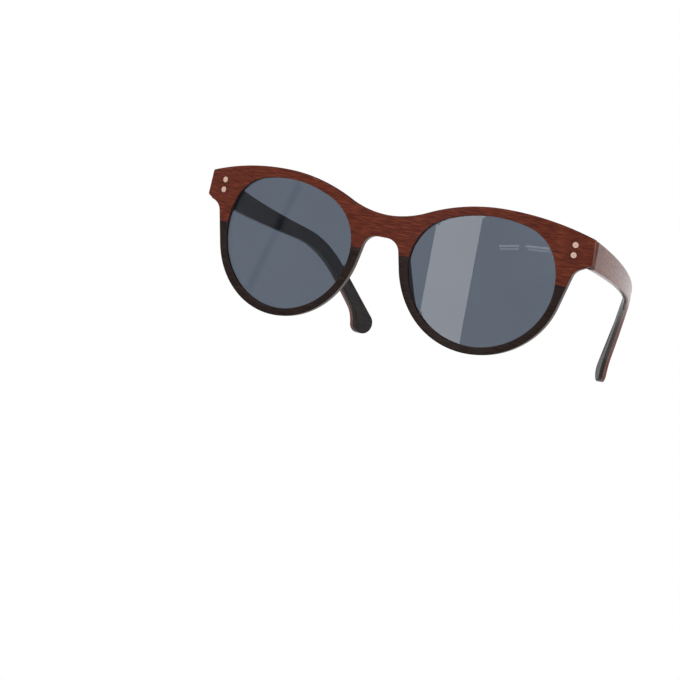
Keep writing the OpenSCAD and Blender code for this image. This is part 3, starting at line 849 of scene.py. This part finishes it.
# Nose pads: low rounded bumps behind the rims
def across_at(loop, z):
    """Distances from the middle at which a loop crosses a level, from the nearest on."""
    found = []
    for a, b in zip(loop, loop[1:] + loop[:1]):
        if (a.y > z) != (b.y > z):
            found.append(a.lerp(b, (z - a.y) / (b.y - a.y)).x)
    return sorted(x for x in found if x > 0)


def nose_pad():
    """The left pad, which leans away from the nose and fades out above and below."""
    bm = bmesh.new()
    ledge = lens_outline(PAD_EDGE)
    lean = math.tan(math.radians(PAD_FLARE))
    rings = []
    for i in range(PAD_ROWS + 1):
        u = 2 * i / PAD_ROWS - 1
        z = PAD_Z + u * PAD_LEN / 2
        nose_x = across_at(front_loop, z)[0] + PAD_NOSE
        lens_x = across_at(ledge, z)[0]
        rise = PAD_H * (1 - u * u) ** PAD_END_POWER
        ring = []
        for k in range(PAD_COLUMNS + 1):
            t = (1 - math.cos(math.pi * k / PAD_COLUMNS)) / 2
            h = rise * math.sqrt(1 - abs(2 * t - 1) ** PAD_TOP_POWER)
            x = nose_x + (lens_x - nose_x) * t + lean * h
            ring.append(bm.verts.new(on_front(pt(x, z), FRONT_T - PAD_SINK + h)))
        rings.append(ring)
    for i, (one, two) in enumerate(zip(rings, rings[1:])):
        for k in range(PAD_COLUMNS):
            bm.faces.new((one[k], one[k + 1], two[k + 1], two[k]))
        low = one[::-1] if i == 0 else [one[-1], one[0]]
        high = two if i == PAD_ROWS - 1 else [two[0], two[-1]]
        bm.faces.new(low + high)
    bmesh.ops.recalc_face_normals(bm, faces=bm.faces)
    return bm


for s, side in SIDES:
    piece(side + "_nose_pad_wood", nose_pad(), dark_front, "front", side + "_nose_pad", s,
          grain=front_grain)

# Lenses
lens = board(fixed(lens_outline(GROOVE - LENS_PLAY)), [], FACE + LENS_PLAY, FACE + CORE - LENS_PLAY,
             (ROUND_LENS, ROUND_LENS), on_front, LENS_GRID)
for s, side in SIDES:
    piece(side + "_lens_tinted", lens.copy(), lens_grey, "front", side + "_lens", s)
lens.free()


# Rivets
def rivet_form():
    """A rivet along z with the face at zero: a head with a small dimple, a rounded tail behind the leaf."""
    rings = domed(DIMPLE, DIMPLE_R, RIVET_PROUD, -DIMPLE_DEEP)
    rings += domed(RIVET_DOME, RIVET_HEAD_R, RIVET_PROUD, -DOME_DROP)
    rings += [(RIVET_HEAD_R, -FACE), (RIVET_R, -FACE)]
    rings += domed(RIVET_TAIL, RIVET_R, -FRONT_T - LEAF_T, -RIVET_END)
    return lathe(rings)


def at_rivets():
    """Places of the two rivets on the left, square to the face."""
    turn = Matrix.Rotation(math.asin(RIVET_X / FRONT_R), 4, "Z")
    face = Matrix.Translation((0, -FRONT_R, 0)) @ Matrix.Rotation(math.radians(90), 4, "X")
    return [Matrix.Translation((0, FRONT_R, z)) @ turn @ face for z in RIVET_LEVELS]


rivet = rivet_form()
for s, side in SIDES:
    pair = copies(rivet, at_rivets())
    piece(side + "_rivets_cream", pair, cream, "front", side + "_front_rivets", s)
rivet.free()


# Hinge screws
def hinge_screw():
    """The pin of a hinge, with a bevelled end below and a rounded, slotted head on top."""
    low = HINGE_Z - HINGE_H / 2 - PIN_END
    head_z = HINGE_Z + HINGE_H / 2
    rings = [(0, low), (PIN_R - PIN_CHAMFER, low), (PIN_R, low + PIN_CHAMFER), (PIN_R, head_z)]
    rings += domed(PIN_HEAD, KNUCKLE_R - PIN_HEAD_IN, head_z, PIN_HEAD_H)
    slot = (SLOT_LONG, PIN_SLOT_W, 2 * PIN_SLOT_DEEP)
    made = slotted(lathe(rings), slot, Vector((0, 0, head_z + PIN_HEAD_H)))
    bmesh.ops.translate(made, vec=(HINGE_X, HINGE_Y, 0), verts=made.verts)
    return made


for s, side in SIDES:
    piece(side + "_hinge_screw_steel", hinge_screw(), steel, "front", side + "_hinge_screw", s)


# Leaf screws
def leaf_screw():
    """A leaf screw along z with the temple's inner face at zero: a point and a rounded, slotted head."""
    deep = INNER + MIDDLE / 2
    rings = [(0, -deep), (SCREW_R, SCREW_POINT - deep), (SCREW_R, LEAF_T)]
    rings += domed(SCREW_HEAD, SCREW_HEAD_R, LEAF_T, SCREW_HEAD_H)
    slot = (SLOT_LONG, SCREW_SLOT_W, 2 * SCREW_SLOT_DEEP)
    return slotted(lathe(rings), slot, Vector((0, 0, LEAF_T + SCREW_HEAD_H)))


def at_leaf_screws():
    """Places of the two leaf screws on the left, square to the temple's inner face."""
    made = []
    fall = math.radians(MID_FALL)
    for run in (LEAF_LEN - SCREW_IN - SCREW_PITCH, LEAF_LEN - SCREW_IN):
        swing = math.asin((HINGE_Y + run * math.cos(fall) - BEND_Y) / INNER_R)
        made.append(Matrix.Translation((BEND_X, BEND_Y, HINGE_Z - run * math.sin(fall)))
                    @ Matrix.Rotation(swing, 4, "Z") @ Matrix.Translation((INNER_R, 0, 0))
                    @ Matrix.Rotation(math.radians(-90), 4, "Y"))
    return made


screw = leaf_screw()
for s, side in SIDES:
    pair = copies(screw, at_leaf_screws())
    temple = side + "_temple"
    piece(side + "_leaf_screws_steel", pair, steel, temple, temple + "_leaf_screws", s)
screw.free()

# Temples: three bent plies each
PLIES = (
    # The outer ply's edges carry the partly painted sheen
    ("outer", 0, OUTER, (ROUND_TEMPLE, 0), red_temple, outer_edge_and_sheen, "red_wood"),
    ("middle", OUTER, OUTER + MIDDLE, (0, 0), tan_ply, tan_ply, "tan_wood"),
    ("inner", OUTER + MIDDLE, TEMPLE_T, (0, ROUND_TEMPLE), dark_temple, inner_edge, "dark_wood"),
)
for ply, d0, d1, rounds, mat, edge, slot in PLIES:
    strip = board(temple_outline, [], d0, d1, rounds, on_temple, TEMPLE_GRID)
    for s, side in SIDES:
        name = side + "_temple_" + ply + "_ply"
        piece(name + "_wood", strip.copy(), mat, side + "_temple", name, s, grain=temple_grain,
              edge=edge, axis=TEMPLE_AXIS)
    strip.free()

# Hinge leaves keep the shape of their nodes
for _, side in SIDES:
    for holder in ("front", "temple"):
        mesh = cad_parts[side + "_" + holder + "_hinge_leaf"].data
        mesh.materials.clear()
        mesh.materials.append(steel)

# Floor: half of its side in metres, and cells of its speck in millimetres
FLOOR_HALF = 8.0
FLOOR_CELL = (4, 4, 4)
FLOOR_DARK, FLOOR_LIGHT = (0.80, 0.80, 0.80, 1), (0.82, 0.82, 0.82, 1)


def floor_material():
    """Pale floor with a faint speck, clear from below."""
    mat, tree, bsdf = blank_material("pale_floor")
    speck = stretched_noise(tree, FLOOR_CELL, detail=3.0, rough=0.6, seed=81)
    tree.links.new(ramp(tree, speck, NOISE_RANGE, (FLOOR_DARK, FLOOR_LIGHT)), bsdf.inputs["Base Color"])
    bsdf.inputs["Roughness"].default_value = 0.7
    bsdf.inputs["Specular IOR Level"].default_value = 0.2
    mix = node(tree, "ShaderNodeMixShader")
    tree.links.new(node(tree, "ShaderNodeNewGeometry").outputs["Backfacing"], mix.inputs["Fac"])
    tree.links.new(bsdf.outputs[0], mix.inputs[1])
    tree.links.new(node(tree, "ShaderNodeBsdfTransparent").outputs[0], mix.inputs[2])
    tree.links.new(mix.outputs[0], tree.nodes["Material Output"].inputs["Surface"])
    return mat


floor_mesh = bpy.data.meshes.new("floor")
floor_corners = [(x * FLOOR_HALF, y * FLOOR_HALF, 0) for x, y in ((-1, -1), (1, -1), (1, 1), (-1, 1))]
floor_mesh.from_pydata(floor_corners, [], [(0, 1, 2, 3)])
floor_mesh.materials.append(floor_material())
floor = bpy.data.objects.new("floor", floor_mesh)
bpy.context.scene.collection.objects.link(floor)
floor.visible_glossy = False

# Camera: place and turn found from the photograph, in the front's own frame
CAM_AT = Vector((346.73, -991.34, 24.19))
CAM_YAW, CAM_PITCH, CAM_ROLL = -19.705, -2.899, 10.505
FOCAL_PX, FRAME_PX, SENSOR = 3000.0, 680.0, 36.0
CAM_NEAR = 0.01
yaw, pitch = math.radians(CAM_YAW), math.radians(CAM_PITCH)
ahead = Vector((math.sin(yaw) * math.cos(pitch), math.cos(yaw) * math.cos(pitch), math.sin(pitch)))
right = ahead.cross(Vector((0, 0, 1))).normalized()
up = right.cross(ahead)
roll = math.radians(CAM_ROLL)
right, up = right * math.cos(roll) + up * math.sin(roll), up * math.cos(roll) - right * math.sin(roll)
axes = Matrix((right, up, -ahead)).transposed().to_4x4()
cam_data = bpy.data.cameras.new("camera")
cam_data.sensor_width = SENSOR
cam_data.lens = SENSOR * FOCAL_PX / FRAME_PX
cam_data.clip_start = CAM_NEAR
cam = bpy.data.objects.new("camera", cam_data)
cam.matrix_world = Matrix.Translation((PLACE @ CAM_AT) * MM) @ TURN @ axes
bpy.context.scene.collection.objects.link(cam)
bpy.context.scene.camera = cam

# Studio light, in metres, watts and degrees. The wearer's left lens mirrors the band and the strips
MIDDLE_AT = (0, 0, 0.02)
LENS_AT, STRIPS_AT = (0.026, -0.066, 0.025), Vector((0.050, -0.062, 0.040))
STRIP_AWAY, STRIP_TALL = 1.6, 0.06


def lamp(name, at, target, size, power):
    """A rectangular lamp at one place, turned to another."""
    data = bpy.data.lights.new(name, "AREA")
    data.shape = "RECTANGLE"
    data.size, data.size_y = size
    data.energy = power
    obj = bpy.data.objects.new(name, data)
    obj.location = at
    obj.rotation_euler = (Vector(target) - Vector(at)).to_track_quat("-Z", "Y").to_euler()
    bpy.context.scene.collection.objects.link(obj)
    return obj


def toward(azimuth, rise):
    """Direction away from the front's face at an azimuth and an elevation in degrees."""
    a, b = math.radians(azimuth), math.radians(rise)
    return Vector((math.sin(a) * math.cos(b), -math.cos(a) * math.cos(b), math.sin(b)))


def strip_lamp(name, azimuth, dip, wide, tilt, power):
    """Short thin lamp that the lens mirrors as a light dash."""
    at = STRIPS_AT + toward(azimuth, -dip) * STRIP_AWAY
    size = (STRIP_AWAY * math.radians(wide), STRIP_AWAY * math.radians(STRIP_TALL))
    made = lamp(name, at, STRIPS_AT, size, power)
    made.rotation_euler.rotate_axis("Z", math.radians(tilt))
    made.visible_camera = False


lamp("key", at=(-0.7, -1.3, 1.5), target=MIDDLE_AT, size=(1.2, 1.2), power=26)
lamp("fill", at=(1.4, -0.6, 1.0), target=MIDDLE_AT, size=(1.0, 1.0), power=9)
band = lamp("band", at=(-0.073, -1.66, -0.11), target=LENS_AT, size=(0.280, 1.3), power=3.8)
band.visible_camera = False
strip_lamp("strip_near_high", azimuth=7.5, dip=3.49, wide=4.2, tilt=2.0, power=0.0014)
strip_lamp("strip_near_low", azimuth=7.7, dip=3.58, wide=4.2, tilt=2.0, power=0.0009)
strip_lamp("strip_far_high", azimuth=14.75, dip=3.29, wide=7.2, tilt=1.4, power=0.0025)
strip_lamp("strip_far_low", azimuth=14.95, dip=3.38, wide=6.4, tilt=1.4, power=0.0014)

# Surroundings: strengths in front, behind and mirrored from above, and where they change along y and z
SKY_FRONT, SKY_BEHIND, SKY_ABOVE = 0.4, 1.0, 0.2
SKY_DEPTH, SKY_RISE = (-0.6, 0.6), (0.2, 0.45)
WHITE = (1, 1, 1, 1)

# Two directions that the thin dark line passes through, and the distances at which it is dark and gone
LINE_FROM, LINE_TO = (-42.6, -2.8), (-49.9, -4.5)
LINE_FADE = (0.001, 0.007)


def studio_world():
    """White to the eye. As light it is greyer in front, and mirrored it is darker above,
    with a thin dark line."""
    world = bpy.data.worlds.new("studio")
    world.use_nodes = True
    bpy.context.scene.world = world
    tree = world.node_tree
    path = node(tree, "ShaderNodeLightPath")
    way = node(tree, "ShaderNodeTexCoord").outputs["Generated"]
    split = node(tree, "ShaderNodeSeparateXYZ")
    tree.links.new(way, split.inputs["Vector"])
    level = span(tree, split.outputs["Y"], *SKY_DEPTH, SKY_FRONT, SKY_BEHIND)
    shaded = span(tree, split.outputs["Z"], *SKY_RISE, 1.0, SKY_ABOVE)
    aside = node(tree, "ShaderNodeVectorMath", operation="DOT_PRODUCT")
    aside.inputs[1].default_value = toward(*LINE_FROM).cross(toward(*LINE_TO)).normalized()
    tree.links.new(way, aside.inputs[0])
    off_line = maths(tree, "ABSOLUTE", aside.outputs["Value"])
    lined = maths(tree, "MULTIPLY", shaded, span(tree, off_line, *LINE_FADE, 0.0, 1.0))
    mirrored = node(tree, "ShaderNodeMix", data_type="FLOAT")
    mirrored.inputs["A"].default_value = 1.0
    tree.links.new(path.outputs["Is Glossy Ray"], mirrored.inputs["Factor"])
    tree.links.new(lined, mirrored.inputs["B"])
    sky = tree.nodes["Background"]
    sky.inputs["Color"].default_value = WHITE
    tree.links.new(maths(tree, "MULTIPLY", level, mirrored.outputs["Result"]), sky.inputs["Strength"])
    plain = node(tree, "ShaderNodeBackground", Color=WHITE, Strength=1.0)
    seen = maths(tree, "MAXIMUM", path.outputs["Is Camera Ray"], path.outputs["Is Transmission Ray"])
    mix = node(tree, "ShaderNodeMixShader")
    tree.links.new(seen, mix.inputs["Fac"])
    tree.links.new(sky.outputs[0], mix.inputs[1])
    tree.links.new(plain.outputs[0], mix.inputs[2])
    tree.links.new(mix.outputs[0], tree.nodes["World Output"].inputs["Surface"])


studio_world()
bpy.context.scene.view_settings.view_transform = "Standard"
